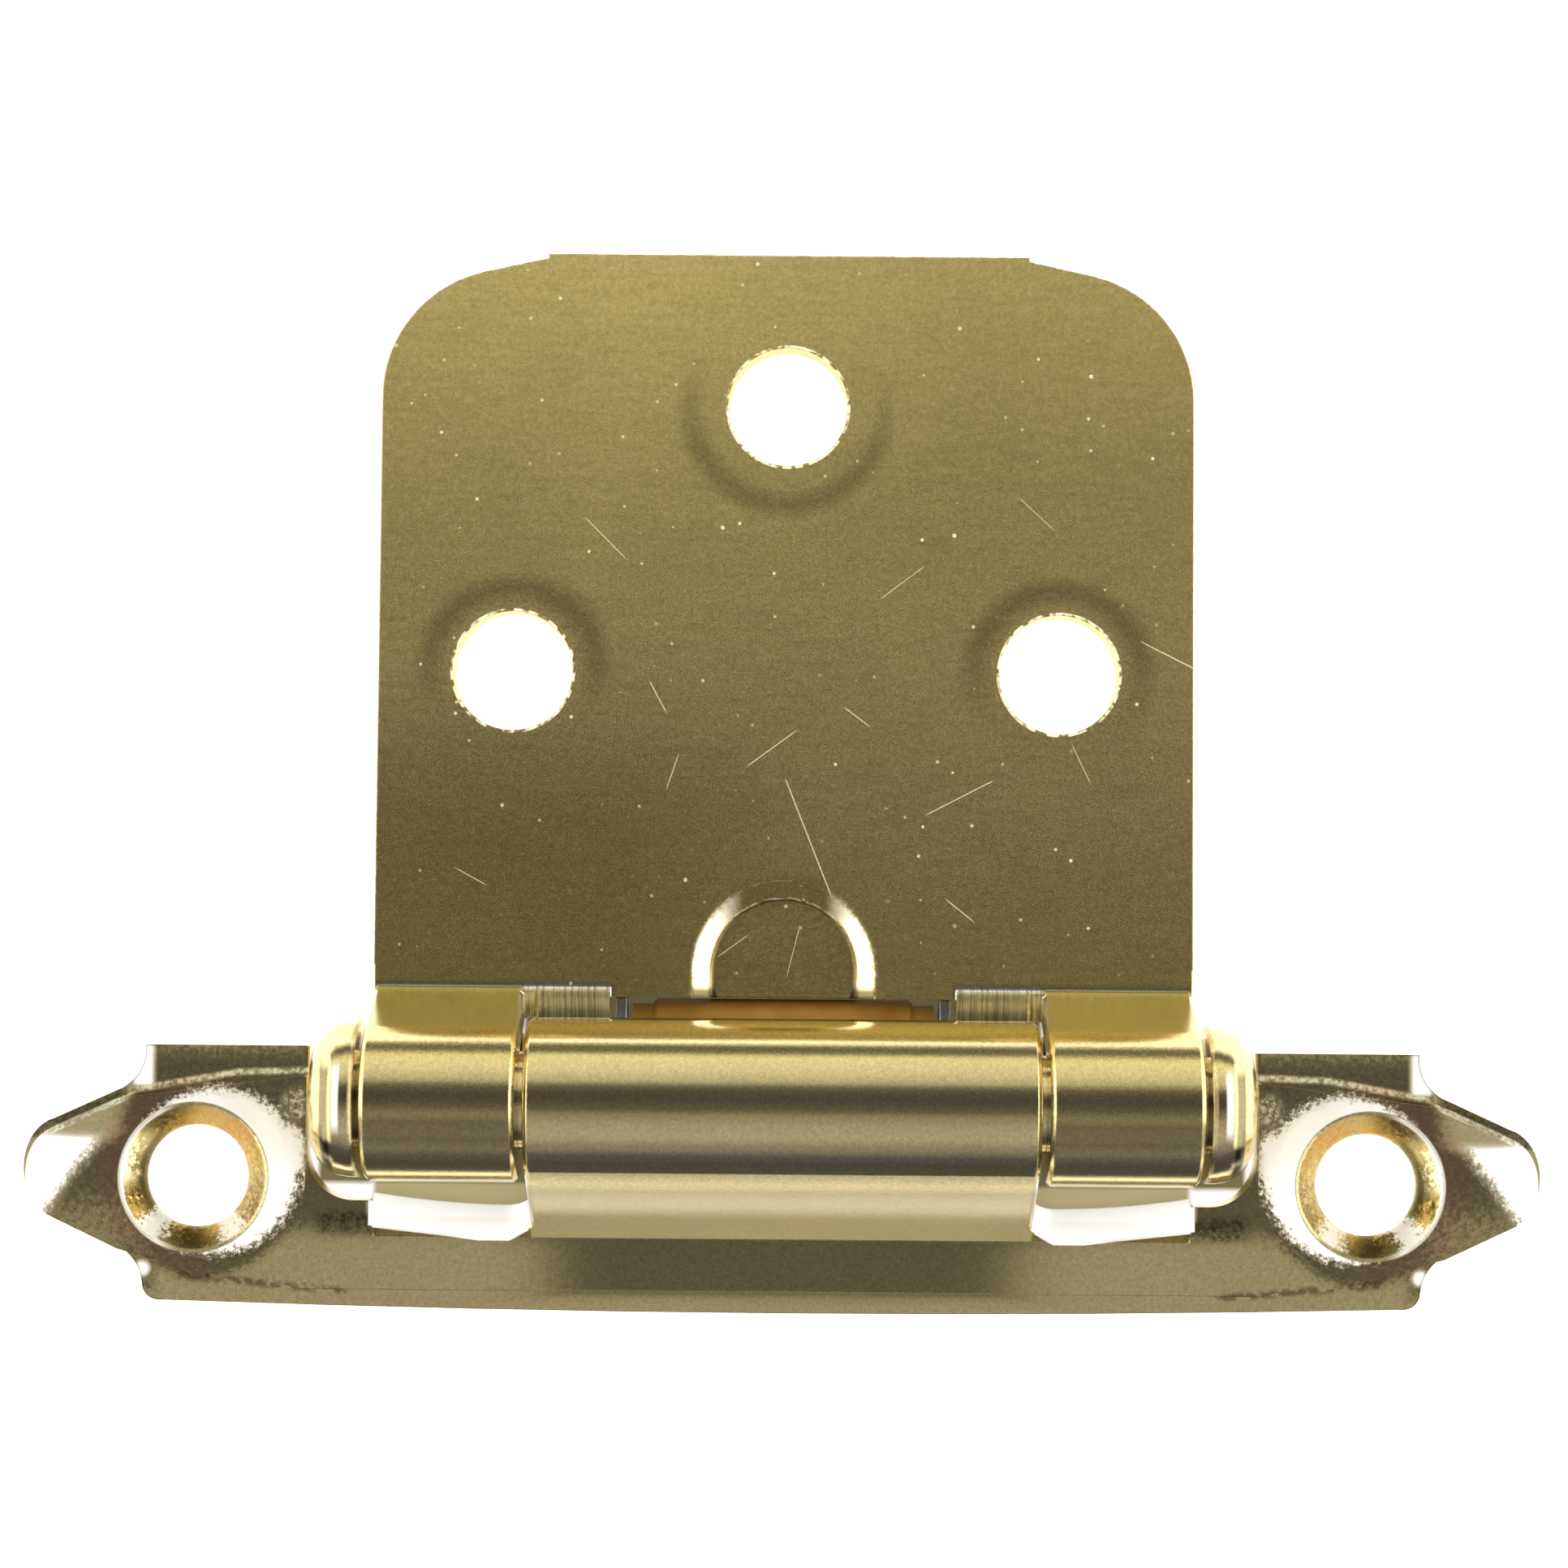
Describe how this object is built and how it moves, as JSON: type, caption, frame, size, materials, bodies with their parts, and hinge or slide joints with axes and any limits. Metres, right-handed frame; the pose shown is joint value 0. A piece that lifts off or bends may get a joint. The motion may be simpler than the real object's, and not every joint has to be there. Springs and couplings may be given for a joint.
{
  "type": "flush cabinet hinge",
  "caption": "Self-closing flush cabinet hinge with a spear-ended frame leaf, a flat door leaf, a headed pin and a spring-held roller.",
  "frame": {"origin": "midway between the two frame screw holes, in the throat of their countersinks, 2.05 mm above the back plane", "axes": "+X along the pin, +Y from the frame leaf towards the door leaf, +Z out of the mounting plane towards the viewer"},
  "size_m": [0.0708, 0.0491, 0.0089],
  "materials": {
    "brass_plate": "bright brass plate on steel sheet, fine scratches",
    "brass_polished": "polished brass plate on steel",
    "amber_nylon": "satin amber nylon",
    "plain_steel": "bright drawn steel",
    "spring_steel": "grey tempered spring steel"
  },
  "bodies": {
    "frame_side": {"frame_leaf": "brass_plate", "hinge_pin": "brass_polished"},
    "door_side": {"door_leaf": "brass_plate", "closing_spring": "spring_steel", "roller_axle": "plain_steel"},
    "roller": {"nylon_roller": "amber_nylon"}
  },
  "joints": [
    {"name": "leaf_hinge", "type": "hinge", "parent": "frame_side", "child": "door_side", "pos_m": [0, 0.00375, 0.00305], "axis": [1, 0, 0], "range_deg": [0, 180], "stiffness_Nm_per_rad": 0.02, "springref_deg": -20.05},
    {"name": "roller_spin", "type": "hinge", "parent": "door_side", "child": "roller", "pos_m": [0, 0.00708, -0.00075], "axis": [1, 0, 0], "range_deg": [-10, 550]}
  ],
  "couplings": [
    {"joint": "roller_spin", "follows": "leaf_hinge", "ratio": 3}
  ]
}
